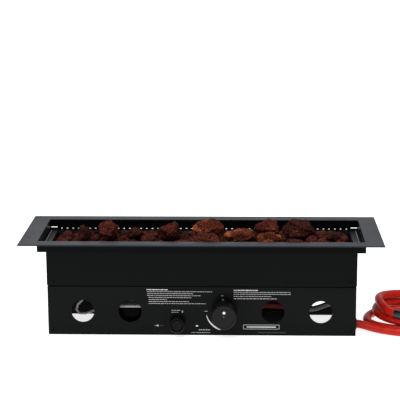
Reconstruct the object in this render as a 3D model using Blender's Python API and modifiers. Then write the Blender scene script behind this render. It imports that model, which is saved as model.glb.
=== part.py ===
"""Drop-in rectangular gas fire burner with lava stones, control box and gas hose.

The burner hangs by its top frame in a cut-out of a table or worktop. Frame of the part: +X to the right of the
control panel, -Y out of the control panel (the front), +Z up, origin on the surface the box stands on, in the middle.
Dimensions are in millimetres in the constants and turned into metres by MM.
"""
import math
import random

import bmesh
import bpy
from mathutils import Matrix, Vector, noise

MM = 0.001

# ---------------------------------------------------------------- driving dimensions (mm)
FRAME_X, FRAME_Y = 600.0, 200.0      # outer size of the top frame
TOP_Z = 167.5                        # top face of the top frame
PLATE = 2.0                          # top frame plate
SHEET = 1.5                          # folded sheet of recess, housing and box
OPEN_X, OPEN_Y = 540.0, 150.0        # clear opening of the recess
LEDGE_Z = 150.5                      # upper face of the ledge round the recess
SLOT_PITCH, SLOT_W = 10.0, 2.8       # air slots at the foot of the rear recess wall
BODY_X, BODY_Y = 519.0, 115.0        # burner housing, outside
SEAM_Z = 85.0                        # top of the control box
BOX_X = 517.6                        # control box and panel width
PANEL_Y = -57.5                      # outer face of the control panel
VENT_X = (-200.0, -120.0, 120.0, 200.0)
VENT_Z, VENT_R = 41.5, 19.3
REAR_VENT_X, REAR_VENT_Z = (-120.0, 120.0, 200.0), 33.5
KNOB_X, KNOB_Z, KNOB_R = 38.3, 42.0, 20.8
KNOB_FRONT, KNOB_BACK = -92.5, -64.0
IGN_X, IGN_Z, IGN_R = -40.5, 22.6, 13.0
PAN_X, PAN_Y, PAN_Z0, PAN_TOP = 511.0, 109.0, 112.0, 150.8
RIM_X = 265.0                        # half length over the pan's end rims
GRATE_Z = 136.0
TUBE_Z, TUBE_R, TUBE_HALF = 124.2, 9.0, 235.0
VENT_TUBE_X = -160.0                 # the mixing tube stands here
HOSE_R = 7.0                         # 14 mm gas hose
HOSE_Y, HOSE_Z = -28.0, 12.5         # where the hose passes the side wall
COIL_C, COIL_OUT, COIL_IN, COIL_H = (358.5, 18.0), 82.0, 38.0, 49.0
REG_X, REG_Y, REG_Z = 437.0, 165.0, 24.0
GAP = 0.3                            # running and resting clearance

# ---------------------------------------------------------------- scene
for old in list(bpy.data.objects):
    bpy.data.objects.remove(old, do_unlink=True)
for old in list(bpy.data.meshes):
    bpy.data.meshes.remove(old)


def new_collection(name):
    coll = bpy.data.collections.new(name)
    bpy.context.scene.collection.children.link(coll)
    return coll


PARTS = new_collection("drop_in_gas_burner")
CUTTERS = new_collection("cutters")

_materials = {}


def material(name, color, roughness, metallic):
    if name not in _materials:
        mat = bpy.data.materials.new(name)
        mat.use_nodes = True
        bsdf = mat.node_tree.nodes["Principled BSDF"]
        bsdf.inputs["Base Color"].default_value = (*color, 1.0)
        bsdf.inputs["Roughness"].default_value = roughness
        bsdf.inputs["Metallic"].default_value = metallic
        mat.diffuse_color = (*color, 1.0)
        _materials[name] = mat
    return _materials[name]


def frame_paint():
    return material("frame_paint", (0.10, 0.105, 0.125), 0.45, 0.2)


def black_paint():
    return material("black_paint", (0.012, 0.013, 0.013), 0.5, 0.0)


def pan_steel():
    return material("pan_steel", (0.10, 0.10, 0.105), 0.4, 0.9)


def steel():
    return material("stainless_steel", (0.55, 0.55, 0.55), 0.3, 1.0)


def aluminium():
    return material("aluminium", (0.7, 0.7, 0.71), 0.35, 1.0)


def brass():
    return material("brass", (0.72, 0.5, 0.2), 0.3, 1.0)


def black_plastic():
    return material("black_plastic", (0.02, 0.02, 0.022), 0.4, 0.0)


def stone():
    return material("lava_stone", (0.10, 0.03, 0.02), 0.95, 0.0)


def red_rubber():
    return material("red_hose", (0.55, 0.03, 0.015), 0.4, 0.0)


def black_rubber():
    return material("black_rubber", (0.02, 0.02, 0.02), 0.7, 0.0)


def ceramic():
    return material("white_ceramic", (0.85, 0.83, 0.78), 0.3, 0.0)


def grey_sheath():
    return material("grey_sheath", (0.35, 0.34, 0.33), 0.45, 0.3)


# ---------------------------------------------------------------- builders
def place(name, mesh, mat, cutter=False, origin=(0, 0, 0), smooth=False):
    """A mesh made in part coordinates (mm) becomes an object whose origin is at the given point."""
    shift = Vector(origin)
    mesh.transform(Matrix.Translation(-shift))
    mesh.transform(Matrix.Scale(MM, 4))
    obj = bpy.data.objects.new(name, mesh)
    obj.location = shift * MM
    (CUTTERS if cutter else PARTS).objects.link(obj)
    if cutter:
        obj.display_type = "WIRE"
        obj.hide_render = True
    else:
        mesh.materials.append(mat)
    if smooth:
        mesh.shade_smooth()
        mesh.set_sharp_from_angle(angle=math.radians(35))
    return obj


def cube_into(bm, size, centre, turn=None):
    made = bmesh.ops.create_cube(bm, size=1.0)
    matrix = Matrix.Translation(Vector(centre)) @ (turn or Matrix()) @ Matrix.Diagonal((*size, 1.0))
    bmesh.ops.transform(bm, matrix=matrix, verts=made["verts"])


def cylinder_into(bm, radius, length, centre, axis="Z", sides=24, radius2=None):
    made = bmesh.ops.create_cone(bm, cap_ends=True, segments=sides, radius1=radius,
                                 radius2=radius if radius2 is None else radius2, depth=length)
    turn = {"Z": Matrix(), "X": Matrix.Rotation(math.pi / 2, 4, "Y"), "Y": Matrix.Rotation(-math.pi / 2, 4, "X")}[axis]
    bmesh.ops.transform(bm, matrix=Matrix.Translation(Vector(centre)) @ turn, verts=made["verts"])


def boxes(name, items, mat=None, cutter=False, origin=(0, 0, 0), bevel=0.0, segments=1):
    """Boxes given as (low corner, high corner) in mm, in one mesh."""
    bm = bmesh.new()
    for low, high in items:
        size = [h - l for l, h in zip(low, high)]
        cube_into(bm, size, [(h + l) / 2 for l, h in zip(low, high)])
    mesh = bpy.data.meshes.new(name)
    bm.to_mesh(mesh)
    bm.free()
    obj = place(name, mesh, mat, cutter, origin)
    if bevel:
        soften(obj, bevel, segments)
    return obj


def cylinders(name, items, mat=None, cutter=False, origin=(0, 0, 0), sides=24):
    """Cylinders given as (radius, length, centre, axis) in mm, in one mesh."""
    bm = bmesh.new()
    for radius, length, centre, axis in items:
        cylinder_into(bm, radius, length, centre, axis, sides)
    mesh = bpy.data.meshes.new(name)
    bm.to_mesh(mesh)
    bm.free()
    return place(name, mesh, mat, cutter, origin, smooth=not cutter)


def soften(obj, width, segments=1, angle=40.0):
    mod = obj.modifiers.new("edges", "BEVEL")
    mod.width = width * MM
    mod.segments = segments
    mod.limit_method = "ANGLE"
    mod.angle_limit = math.radians(angle)
    return mod


def combine(obj, other, operation):
    mod = obj.modifiers.new(operation.lower(), "BOOLEAN")
    mod.operation = operation
    mod.solver = "EXACT"
    mod.object = other
    return mod


def cut(obj, *cutters):
    for cutter in cutters:
        combine(obj, cutter, "DIFFERENCE")
    return obj


def join(obj, *others):
    for other in others:
        combine(obj, other, "UNION")
    return obj


def turned(name, profile, centre, axis, mat=None, cutter=False, steps=24, closed=False):
    """A profile of (radius, height) in mm, turned about an axis through centre.

    The profile runs down its outer side, from top to bottom, along +axis as up.
    A closed profile makes a ring; an open one starts and ends on the axis.
    """
    mesh = bpy.data.meshes.new(name)
    verts = [(r * MM, 0.0, h * MM) for r, h in profile]
    edges = [(i, i + 1) for i in range(len(profile) - 1)]
    if closed:
        edges.append((len(profile) - 1, 0))
    mesh.from_pydata(verts, edges, [])
    obj = bpy.data.objects.new(name, mesh)
    obj.location = Vector(centre) * MM
    if axis == "X":
        obj.rotation_euler = (0.0, math.pi / 2, 0.0)
    elif axis == "Y":
        obj.rotation_euler = (-math.pi / 2, 0.0, 0.0)
    elif axis == "-Y":
        obj.rotation_euler = (math.pi / 2, 0.0, 0.0)
    mod = obj.modifiers.new("turn", "SCREW")
    mod.axis = "Z"
    mod.angle = 2 * math.pi
    mod.steps = steps
    mod.render_steps = steps
    mod.use_merge_vertices = True
    mod.merge_threshold = 0.00001
    mod.use_smooth_shade = True
    (CUTTERS if cutter else PARTS).objects.link(obj)
    if cutter:
        obj.display_type = "WIRE"
        obj.hide_render = True
    else:
        mesh.materials.append(mat)
    return obj


def smooth_route(points, spacing):
    """Points at an even spacing on one smooth curve through the given points (mm)."""
    pts = [Vector(p) for p in points]
    pts = [pts[0] * 2 - pts[1]] + pts + [pts[-1] * 2 - pts[-2]]
    dense = []
    for i in range(1, len(pts) - 2):
        p0, p1, p2, p3 = pts[i - 1:i + 3]
        for k in range(24):
            t = k / 24
            dense.append(0.5 * ((2 * p1) + (p2 - p0) * t + (2 * p0 - 5 * p1 + 4 * p2 - p3) * t * t
                                + (3 * p1 - p0 - 3 * p2 + p3) * t ** 3))
    dense.append(pts[-2].copy())
    length = sum((b - a).length for a, b in zip(dense, dense[1:]))
    count = max(2, round(length / spacing))
    out, run, nxt = [dense[0]], 0.0, length / count
    for a, b in zip(dense, dense[1:]):
        seg = (b - a).length
        while run + seg >= nxt - 1e-9 and len(out) < count:
            out.append(a.lerp(b, (nxt - run) / seg))
            nxt += length / count
        run += seg
    out.append(dense[-1])
    # the first and last stretch lie exactly along the ends' own directions, so the end faces are square
    for end, near, toward in ((0, 1, pts[2] - pts[1]), (-1, -2, pts[-3] - pts[-2])):
        toward = toward.normalized()
        out[near] = out[end] + toward * (out[near] - out[end]).dot(toward)
    return out


def rod(name, points, radius, mat, bevel_resolution=2):
    """A wire, pipe or hose: a poly curve through points in mm, with filled caps."""
    curve = bpy.data.curves.new(name, "CURVE")
    curve.dimensions = "3D"
    curve.bevel_depth = radius * MM
    curve.bevel_resolution = bevel_resolution
    curve.use_fill_caps = True
    curve.resolution_u = 1
    curve.render_resolution_u = 0
    spline = curve.splines.new("POLY")
    spline.points.add(len(points) - 1)
    for point, co in zip(spline.points, points):
        point.co = (*(Vector(co) * MM), 1.0)
    curve.materials.append(mat)
    obj = bpy.data.objects.new(name, curve)
    PARTS.objects.link(obj)
    return obj


# ---------------------------------------------------------------- top frame
plate_low = TOP_Z - PLATE
top_frame = boxes("top_frame", [((-FRAME_X / 2, -FRAME_Y / 2, plate_low), (FRAME_X / 2, FRAME_Y / 2, TOP_Z))],
                  frame_paint())
wx, wy = OPEN_X / 2 + SHEET, OPEN_Y / 2 + SHEET
recess_outside = boxes("recess_outside", [((-wx, -wy, LEDGE_Z - SHEET), (wx, wy, TOP_Z - 0.6))], cutter=True)
recess_inside = boxes("recess_inside", [((-OPEN_X / 2, -OPEN_Y / 2, LEDGE_Z), (OPEN_X / 2, OPEN_Y / 2, TOP_Z + 5))],
                      cutter=True)
throat_x, throat_y = BODY_X / 2 - SHEET, BODY_Y / 2 - SHEET
throat = boxes("throat", [((-throat_x, -throat_y, LEDGE_Z - 8), (throat_x, throat_y, LEDGE_Z + 8))], cutter=True)
slots = []
slot_low, slot_high = LEDGE_Z + 0.5, LEDGE_Z + 1.5
steps_x = int(250 // SLOT_PITCH)
for k in range(-steps_x, steps_x + 1):
    x = k * SLOT_PITCH
    slots.append(((x - SLOT_W / 2, OPEN_Y / 2 - 1.0, slot_low), (x + SLOT_W / 2, wy + 1, slot_high)))
for end in (-1, 1):      # longer slot at each rear corner, a little higher up
    x0, x1 = sorted((end * 257.5, end * 268.8))
    slots.append(((x0, OPEN_Y / 2 - 1.0, slot_high + 0.9), (x1, wy + 1, slot_high + 2.3)))
air_slots = boxes("air_slots", slots, cutter=True)
join(top_frame, recess_outside)
cut(top_frame, recess_inside, throat, air_slots)

# ---------------------------------------------------------------- burner housing (upper body)
hx, hy = BODY_X / 2, BODY_Y / 2
house_low, house_high = SEAM_Z + 0.4, LEDGE_Z - SHEET - GAP
burner_housing = boxes("burner_housing", [((-hx, -hy, house_low), (hx, hy, house_high))], black_paint())
house_inside = boxes("house_inside", [((-hx + SHEET, -hy + SHEET, house_low + SHEET), (hx - SHEET, hy - SHEET, TOP_Z))],
                     cutter=True)
house_holes = cylinders("house_holes", [
    (11.5, 10, (VENT_TUBE_X, 0, house_low), "Z"),
    (9.0, 10, (-225, 6, house_low), "Z"),
    (6.0, 10, (150, 16, house_low), "Z"),
    (9.0, 10, (-80, 0, house_low), "Z"), (9.0, 10, (0, 0, house_low), "Z"), (9.0, 10, (80, 0, house_low), "Z"),
    (1.9, 8, (-249.7, -hy, 92.0), "Y"), (1.9, 8, (249.7, -hy, 92.0), "Y")], cutter=True, sides=16)
# the lower edge is set back all round, which leaves a shadow gap over the panel
house_step = boxes("house_step", [((-hx - 5, -hy - 5, house_low - 3), (hx + 5, -hy + 0.9, house_low + 1.1)),
                                  ((-hx - 5, hy - 0.9, house_low - 3), (hx + 5, hy + 5, house_low + 1.1))], cutter=True)
house_step_ends = boxes("house_step_ends", [((-hx - 5, -hy - 5, house_low - 3), (-hx + 0.9, hy + 5, house_low + 1.1)),
                                            ((hx - 0.9, -hy - 5, house_low - 3), (hx + 5, hy + 5, house_low + 1.1))],
                        cutter=True)
cut(burner_housing, house_inside, house_holes, house_step, house_step_ends)

# ---------------------------------------------------------------- burner pan with its end rims
px, py = PAN_X / 2, PAN_Y / 2
burner_pan = boxes("burner_pan", [((-px, -py, PAN_Z0), (px, py, PAN_TOP + 1.2))], pan_steel())
pan_rims = boxes("pan_rims", [((-RIM_X, -52, PAN_TOP), (-px + 2, 52, PAN_TOP + 1.2)),
                              ((px - 2, -52, PAN_TOP), (RIM_X, 52, PAN_TOP + 1.2))], cutter=True)
rim_lips = boxes("rim_lips", [((side * (RIM_X - 0.6) - 0.6, -52, PAN_TOP), (side * (RIM_X - 0.6) + 0.6, 52, PAN_TOP + 3.0))
                              for side in (-1, 1)], cutter=True)
pan_inside = boxes("pan_inside", [((-px + 1, -py + 1, PAN_Z0 + 1.2), (px - 1, py - 1, PAN_TOP + 9))], cutter=True)
pan_holes = cylinders("pan_holes", [
    (9.2, 8, (VENT_TUBE_X, 0, PAN_Z0), "Z"),
    (4.9, 8, (-222, 15, PAN_Z0), "Z"),
    (4.9, 8, (150, 16, PAN_Z0), "Z"),
    (4.0, 8, (-100, -35, PAN_Z0), "Z"), (4.0, 8, (0, 35, PAN_Z0), "Z"), (4.0, 8, (100, -35, PAN_Z0), "Z")],
    cutter=True, sides=16)
join(burner_pan, pan_rims, rim_lips)
cut(burner_pan, pan_inside, pan_holes)

# ---------------------------------------------------------------- grate under the stones
rock_grate = boxes("rock_grate", [((-250, -52, PAN_Z0 + 1.2 + GAP), (250, 52, GRATE_Z + SHEET))], steel())
grate_under = boxes("grate_under", [((-250 + SHEET, -60, PAN_Z0 - 2), (250 - SHEET, 60, GRATE_Z))], cutter=True)
grate_slots = boxes("grate_slots", [((x - 4, side * 26 - 20, GRATE_Z - 3), (x + 4, side * 26 + 20, GRATE_Z + 5))
                                    for x in range(-225, 226, 25) for side in (-1, 1)], cutter=True)
cut(rock_grate, grate_under, grate_slots)

# ---------------------------------------------------------------- linear burner tube
r, h = TUBE_R, TUBE_HALF
burner_tube = turned("burner_tube", [(0, h), (r - 1.5, h), (r, h - 1.5), (r, -h + 1.5), (r - 1.5, -h), (0, -h)],
                     (0, 0, TUBE_Z), "X", steel(), steps=18)
tube_bore = turned("tube_bore", [(0, h - 1.2), (r - 1, h - 1.2), (r - 1, -h + 1.2), (0, -h + 1.2)],
                   (0, 0, TUBE_Z), "X", cutter=True, steps=18)
tube_ports = boxes("tube_ports", [((x - 1, -3.4, TUBE_Z + 6.6), (x + 1, 3.4, TUBE_Z + 12)) for x in range(-196, 197, 28)],
                   cutter=True)
tube_inlet = cylinders("tube_inlet", [(6.2, 10, (VENT_TUBE_X, 0, TUBE_Z - 8), "Z")], cutter=True, sides=16)
cut(burner_tube, tube_bore, tube_ports, tube_inlet)

saddle_low = PAN_Z0 + 1.2 + GAP
for label, x in (("left", -130.0), ("right", 195.0)):
    saddle = boxes("burner_saddle_" + label, [((x - 6, -20, saddle_low), (x + 6, 20, TUBE_Z - 1.0))], steel())
    hollow = boxes("saddle_hollow_" + label, [((x - 4.8, -30, saddle_low + 1.2), (x + 9, 30, TUBE_Z + 5))], cutter=True)
    notch = cylinders("saddle_notch_" + label, [(TUBE_R + GAP, 30, (x, 0, TUBE_Z), "X")], cutter=True, sides=24)
    cut(saddle, hollow, notch)

# ---------------------------------------------------------------- mixing tube, shutter and injector
tube_top = TUBE_Z - TUBE_R - GAP
venturi_tube = turned("venturi_tube", [
    (8.3, tube_top), (8.3, 104), (7.2, 96), (7.2, 90), (8.3, 82), (8.3, 65.5), (11, 65.5), (11, 63),
    (6.4, 63), (6.4, 82), (5.4, 90), (5.4, 96), (6.2, 104), (6.2, tube_top)],
    (VENT_TUBE_X, 0, 0), "Z", aluminium(), steps=16, closed=True)
air_ports = boxes("air_ports", [((VENT_TUBE_X - 4, -12, 69), (VENT_TUBE_X + 4, 12, 76)),
                                ((VENT_TUBE_X - 12, -4, 69), (VENT_TUBE_X + 12, 4, 76))], cutter=True)
cut(venturi_tube, air_ports)
air_shutter = turned("air_shutter", [(10.1, 78.5), (10.1, 66.2), (8.7, 66.2), (8.7, 78.5)],
                     (VENT_TUBE_X, 0, 0), "Z", steel(), steps=20, closed=True)
shutter_ports = boxes("shutter_ports", [((VENT_TUBE_X - 3.6, -14, 68.8), (VENT_TUBE_X + 3.6, 14, 76)),
                                        ((VENT_TUBE_X - 14, -3.6, 68.8), (VENT_TUBE_X + 14, 3.6, 76))], cutter=True)
cut(air_shutter, shutter_ports)
injector_holder = cylinders("injector_holder", [(9.2, 16, (VENT_TUBE_X, 0, 51), "Z")], brass(), sides=6)
holder_neck = cylinders("holder_neck", [(6.8, 5, (VENT_TUBE_X, 0, 60.2), "Z"), (5.4, 22, (VENT_TUBE_X + 10, 0, 50), "X")],
                        cutter=True, sides=16)
join(injector_holder, holder_neck)
injector_jet = turned("injector_jet", [(1.6, 71), (4.2, 67.6), (4.2, 63), (0.5, 63), (0.5, 71)],
                      (VENT_TUBE_X, 0, 0), "Z", brass(), steps=12, closed=True)

# ---------------------------------------------------------------- control box (sides, rear and folded returns)
bx = BOX_X / 2
front_y, rear_y = PANEL_Y + SHEET + GAP, -PANEL_Y
control_box = boxes("control_box", [((-bx, front_y, 0), (bx, rear_y, SEAM_Z))], black_paint())
box_inside = boxes("box_inside", [((-bx + SHEET, front_y + SHEET, -5), (bx - SHEET, rear_y - SHEET, SEAM_Z - SHEET))],
                   cutter=True)
box_windows = boxes("box_windows", [((-bx + 13, front_y - 9, -5), (bx - 13, front_y + 9, SEAM_Z - SHEET)),
                                    ((-bx + 13, front_y + 11, SEAM_Z - 6), (bx - 13, rear_y - 12, SEAM_Z + 6))],
                    cutter=True)
box_holes = cylinders("box_holes", [(VENT_R, 10, (x, rear_y - 1, REAR_VENT_Z), "Y") for x in REAR_VENT_X]
                      + [(10.2, 10, (bx, HOSE_Y, HOSE_Z), "X"),
                         (1.9, 6, (-251.5, front_y, 6.4), "Y"), (1.9, 6, (251.5, front_y, 6.4), "Y")],
                      cutter=True, sides=24)
cut(control_box, box_inside, box_windows, box_holes)

# ---------------------------------------------------------------- control panel
control_panel = boxes("control_panel", [((-bx, PANEL_Y, 0), (bx, PANEL_Y + SHEET, SEAM_Z - 0.8))], black_paint())
panel_vents = cylinders("panel_vents", [(VENT_R, 8, (x, PANEL_Y, VENT_Z), "Y") for x in VENT_X], cutter=True, sides=32)
panel_holes = cylinders("panel_holes", [(7.0, 8, (KNOB_X, PANEL_Y, KNOB_Z), "Y"), (11.5, 8, (IGN_X, PANEL_Y, IGN_Z), "Y"),
                                        (1.9, 8, (-251.5, PANEL_Y, 6.4), "Y"), (1.9, 8, (251.5, PANEL_Y, 6.4), "Y")],
                        cutter=True, sides=20)
cut(control_panel, panel_vents, panel_holes)

for number, (x, z, y) in enumerate(((-249.7, 92.0, -hy), (249.7, 92.0, -hy), (-251.5, 6.4, PANEL_Y), (251.5, 6.4, PANEL_Y)), 1):
    turned("panel_screw_%d" % number, [(0, 1.5), (1.5, 1.5), (2.6, 0.9), (2.6, GAP), (1.5, GAP), (1.5, -5.0), (0, -5.0)],
           (x, y, z), "-Y", black_paint(), steps=12)

# ---------------------------------------------------------------- gas valve
valve_body = boxes("valve_body", [((KNOB_X - 17, -49, KNOB_Z - 17), (KNOB_X + 17, -13, KNOB_Z + 18))], aluminium())
valve_bosses = cylinders("valve_bosses", [
    (12.0, 8, (KNOB_X, -51.7, KNOB_Z), "Y"), (9.0, 8, (KNOB_X, -10, KNOB_Z), "Y"),
    (6.0, 6, (KNOB_X - 18, -22, 40), "X"), (7.0, 16, (KNOB_X + 24, -22, 44), "X")], cutter=True, sides=20)
valve_bore = turned("valve_bore", [(0, 60), (6.6, 60), (6.6, 50), (5.5, 50), (5.5, 16), (0, 16)],
                    (KNOB_X, 0, KNOB_Z), "-Y", cutter=True, steps=24)
join(valve_body, valve_bosses)
cut(valve_body, valve_bore)
valve_plug = turned("valve_plug", [(5.2, 48.5), (4.7, 20), (3.4, 20), (3.4, 48.5)],
                    (KNOB_X, 0, KNOB_Z), "-Y", brass(), steps=20, closed=True)
valve_stem = turned("valve_stem", [(0, 85.4), (2.6, 85.4), (3.0, 85.0), (3.0, 62.0), (5.6, 62.0), (5.6, 60.4),
                                   (3.0, 60.4), (3.0, 28.0), (0, 28.0)],
                    (KNOB_X, 0, KNOB_Z), "-Y", steel(), steps=20)
turns, per = 4, 8
coil = []
for i in range(turns * per + 1):
    a = 2 * math.pi * i / per
    coil.append((KNOB_X + 4.5 * math.cos(a), -59.2 + 7.6 * i / (turns * per), KNOB_Z + 4.5 * math.sin(a)))
stem_spring = rod("stem_spring", coil, 0.5, steel(), 1)
magnet_unit = turned("magnet_unit", [(0, 14), (6.4, 14), (7.4, 13), (7.4, -5.6), (0, -5.6)],
                     (KNOB_X, 0, KNOB_Z), "Y", aluminium(), steps=20)
thermocouple_nut = cylinders("thermocouple_nut", [(5.6, 8, (KNOB_X, 18.3, KNOB_Z), "Y")], brass(), sides=6)

# ---------------------------------------------------------------- control knob
control_knob = turned("control_knob", [
    (0, -KNOB_FRONT - 0.4), (KNOB_R - 2.4, -KNOB_FRONT - 0.4), (KNOB_R - 1.6, -KNOB_FRONT), (KNOB_R - 0.6, -KNOB_FRONT),
    (KNOB_R, -KNOB_FRONT - 0.8), (KNOB_R + 0.5, -KNOB_BACK), (8.0, -KNOB_BACK), (8.0, 74.0), (3.3, 74.0),
    (3.3, 85.8), (0, 85.8)], (KNOB_X, 0, KNOB_Z), "-Y", black_plastic(), steps=32)

# ---------------------------------------------------------------- gas pipes inside the box
outlet_pipe = rod("outlet_pipe", smooth_route([(KNOB_X - 21.4, -22, 40), (9, -22, 40), (-2, -20.5, 43), (-20, -13, 50), (-55, -2, 55.5),
                                               (-95, 0, 55), (-118, 0, 51.5), (-131, 0, 50), (VENT_TUBE_X + 21.4, 0, 50)], 9), 4.0,
                  aluminium(), 3)
inner_hose = rod("inner_hose", smooth_route([(KNOB_X + 32.4, -22, 44), (86, -22, 44), (104, -21, 42.8), (128, -20, 41.2), (150, -20, 40.5), (160, -20, 40.5)],
                                            10), 6.5, red_rubber(), 3)
inlet_pipe = rod("inlet_pipe", smooth_route([(160.8, -20, 40.5), (167, -20, 40.5), (177, -20, 37.2), (187, -20, 35.6), (197, -20, 37.9),
                                             (207, -20, 41.6), (216, -20.5, 45), (224.5, -22.5, 45), (231.5, -25.8, 39),
                                             (235.6, -27.8, 31), (236, -28, 22.4)], 6), 4.5, aluminium(), 3)
hose_nozzle = boxes("hose_nozzle", [((229.5, HOSE_Y - 6.5, HOSE_Z - 6.5), (242.5, HOSE_Y + 6.5, HOSE_Z + 6.5))], brass())
nozzle_arms = cylinders("nozzle_arms", [(5.0, 10, (236, -28, 17), "Z"), (6.2, 14, (243, HOSE_Y, HOSE_Z), "X")],
                        cutter=True, sides=16)
join(hose_nozzle, nozzle_arms)
pipe_bracket = boxes("pipe_bracket", [((99, -11.5, 4), (145, -10, 85.0))], black_paint())
bracket_lips = boxes("bracket_lips", [((99, -10.5, 83.5), (145, 8, 85.0)), ((105, -27, 32.2), (139, -10.5, 33.7))],
                     cutter=True)
join(pipe_bracket, bracket_lips)

# ---------------------------------------------------------------- thermocouple and electrode
thermocouple_probe = turned("thermocouple_probe", [
    (0, 134.5), (1.2, 134.2), (2.2, 132.5), (2.2, 124), (4.2, 122.5), (4.2, 106), (3.2, 105), (3.2, 100.3), (0, 100.3)],
    (-222, 15, 0), "Z", steel(), steps=14)
thermocouple_lead = rod("thermocouple_lead", smooth_route([
    (-222, 15, 99.9), (-222, 15, 95), (-222.4, 9, 89), (-219, -2, 80), (-209, -13, 68), (-202.5, -20, 58), (-204, -23, 51.5),
    (-210, -24, 46.5), (-214, -24, 40), (-215.5, -24, 33.5), (-212.5, -24, 28), (-204, -23.5, 25.8), (-194, -22, 27.6),
    (-184, -19, 31.5), (-166, -6, 34), (-135, 16, 37.5), (-90, 30, 41), (-40, 38, 43), (0, 46, 42.5), (24, 47, 42),
    (35, 41, 42), (KNOB_X, 31, KNOB_Z), (KNOB_X, 22.7, KNOB_Z)], 10), 2.2, grey_sheath(), 1)
sensor_bracket = boxes("sensor_bracket", [((-236, 8, saddle_low), (-212, 24, saddle_low + 1.5)),
                                          ], steel())
sensor_tab = boxes("sensor_tab", [((-236, 8, saddle_low), (-234.4, 24, 127))], cutter=True)
sensor_hole = cylinders("sensor_hole", [(4.6, 10, (-222, 15, saddle_low), "Z")], cutter=True, sides=16)
join(sensor_bracket, sensor_tab)
cut(sensor_bracket, sensor_hole)
electrode_ceramic = turned("electrode_ceramic", [
    (3.2, 126), (3.8, 125), (3.8, 116.6), (4.5, 115.8), (4.5, 106), (3.8, 104), (3.8, 98), (1.5, 98), (1.5, 126)],
    (150, 16, 0), "Z", ceramic(), steps=14, closed=True)
electrode_rod = rod("electrode_rod", smooth_route([(150, 16, 94), (150, 16, 110), (150, 16, 127), (150, 15, 131.5),
                                                   (150, 11.5, 133.6)], 7), 1.2, steel(), 1)
ignition_lead = rod("ignition_lead", smooth_route([
    (-96.0, -14, 22), (-88, -14, 22), (-78, -6, 17), (-55, 10, 13), (-10, 20, 13), (38, 26, 18), (80, 22, 28), (112, 14, 44),
    (138, 14, 62), (149, 16, 78), (150, 16, 87), (150, 16, 93.6)], 11), 2.5, red_rubber(), 1)

# ---------------------------------------------------------------- spark module and igniter
spark_module = boxes("spark_module", [((-141, -44, 8), (-97, -4, 47.5))], black_plastic())
soften(spark_module, 3.5, 2)
igniter_housing = turned("igniter_housing", [
    (11.0, 61.5), (11.0, 55.7), (14.0, 55.7), (14.0, 51.5), (11.0, 51.5), (11.0, 3.2), (10.0, 2.2), (5.0, 2.2),
    (5.0, 4.2), (8.6, 4.2), (8.6, 61.5)], (IGN_X, 0, IGN_Z), "-Y", black_plastic(), steps=24, closed=True)
igniter_battery = turned("igniter_battery", [
    (0, 57.4), (2.7, 57.4), (2.7, 56.2), (7.2, 56.2), (7.2, 7.4), (0, 7.4)], (IGN_X, 0, IGN_Z), "-Y", steel(), steps=16)
igniter_cap = turned("igniter_cap", [
    (11.8, 77.5), (12.6, 77.1), (13.0, 76.2), (13.0, 57.9), (11.4, 57.9), (11.4, 71.0), (9.9, 71.0), (9.9, 77.0)],
    (IGN_X, 0, IGN_Z), "-Y", black_plastic(), steps=28, closed=True)
igniter_button = turned("igniter_button", [
    (0, 75.6), (7.5, 76.3), (9.2, 76.0), (9.6, 75.2), (9.6, 70.7), (11.1, 70.7), (11.1, 68.4), (0, 68.4)],
    (IGN_X, 0, IGN_Z), "-Y", black_plastic(), steps=28)
turns = 4
coil = []
for i in range(turns * per + 1):
    a = 2 * math.pi * i / per
    coil.append((IGN_X + 5.2 * math.cos(a), -67.4 + 8.6 * i / (turns * per), IGN_Z + 5.2 * math.sin(a)))
igniter_spring = rod("igniter_spring", coil, 0.5, steel(), 1)

# ---------------------------------------------------------------- hose, coil and regulator
wall = bx - SHEET
hose_grommet = turned("hose_grommet", [
    (8.6, bx + 3.6), (11.4, bx + 1.8), (11.8, bx + GAP), (9.9, bx + GAP), (9.9, wall - GAP), (11.6, wall - GAP),
    (11.6, wall - 2.2), (7.3, wall - 2.2), (7.3, bx + 3.6)],
    (0, HOSE_Y, HOSE_Z), "X", black_rubber(), steps=24, closed=True)
run = smooth_route([(250.4, HOSE_Y, HOSE_Z), (258, HOSE_Y, HOSE_Z), (265, HOSE_Y - 0.3, HOSE_Z - 0.4),
                    (275, HOSE_Y - 2.0, 10.6), (286, HOSE_Y - 5.4, 8.4), (300, HOSE_Y - 10.5, 7.4)], 6)


def clear_of_coil(points):
    """The stretch of the route whose full width stays outside the coil's cylinder."""
    kept = []
    for a, b in zip(points, points[1:]):
        along = (b - a).normalized()
        across = Vector((-along.y, along.x, 0.0)) * (HOSE_R + 0.2)
        if min((Vector((*(q.xy - Vector(COIL_C)), 0))).length for q in (a, a + across, a - across)) < COIL_OUT + GAP:
            break
        kept.append(a)
    return kept


gas_hose = rod("gas_hose", clear_of_coil(run), HOSE_R, red_rubber(), 3)
c, o, i_, hh = 6.0, COIL_OUT, COIL_IN, COIL_H
gas_hose_coil = turned("gas_hose_coil", [(o - c, hh), (o, hh - c), (o, c), (o - c, 0.1), (i_ + c, 0.1), (i_, c),
                                         (i_, hh - c), (i_ + c, hh)],
                       (*COIL_C, 0), "Z", red_rubber(), steps=32, closed=True)
tail = smooth_route([(REG_X, REG_Y - 36 - 17.4, REG_Z), (REG_X, REG_Y - 60, REG_Z), (REG_X, REG_Y - 66, REG_Z + 1.0), (REG_X - 0.4, REG_Y - 76, REG_Z + 5),
                     (REG_X - 1.4, REG_Y - 92, REG_Z + 10.5), (REG_X - 3, REG_Y - 110, REG_Z + 13)], 6)
gas_hose_tail = rod("gas_hose_tail", clear_of_coil(tail), HOSE_R, red_rubber(), 3)
hose_ferrule = turned("hose_ferrule", [(0, -36.3), (8.0, -36.3), (8.6, -37), (8.6, -43), (8.1, -44), (8.6, -45),
                                       (8.6, -52.4), (7.9, -53), (0, -53)],
                      (REG_X, REG_Y, REG_Z), "Y", steel(), steps=20)
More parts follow.
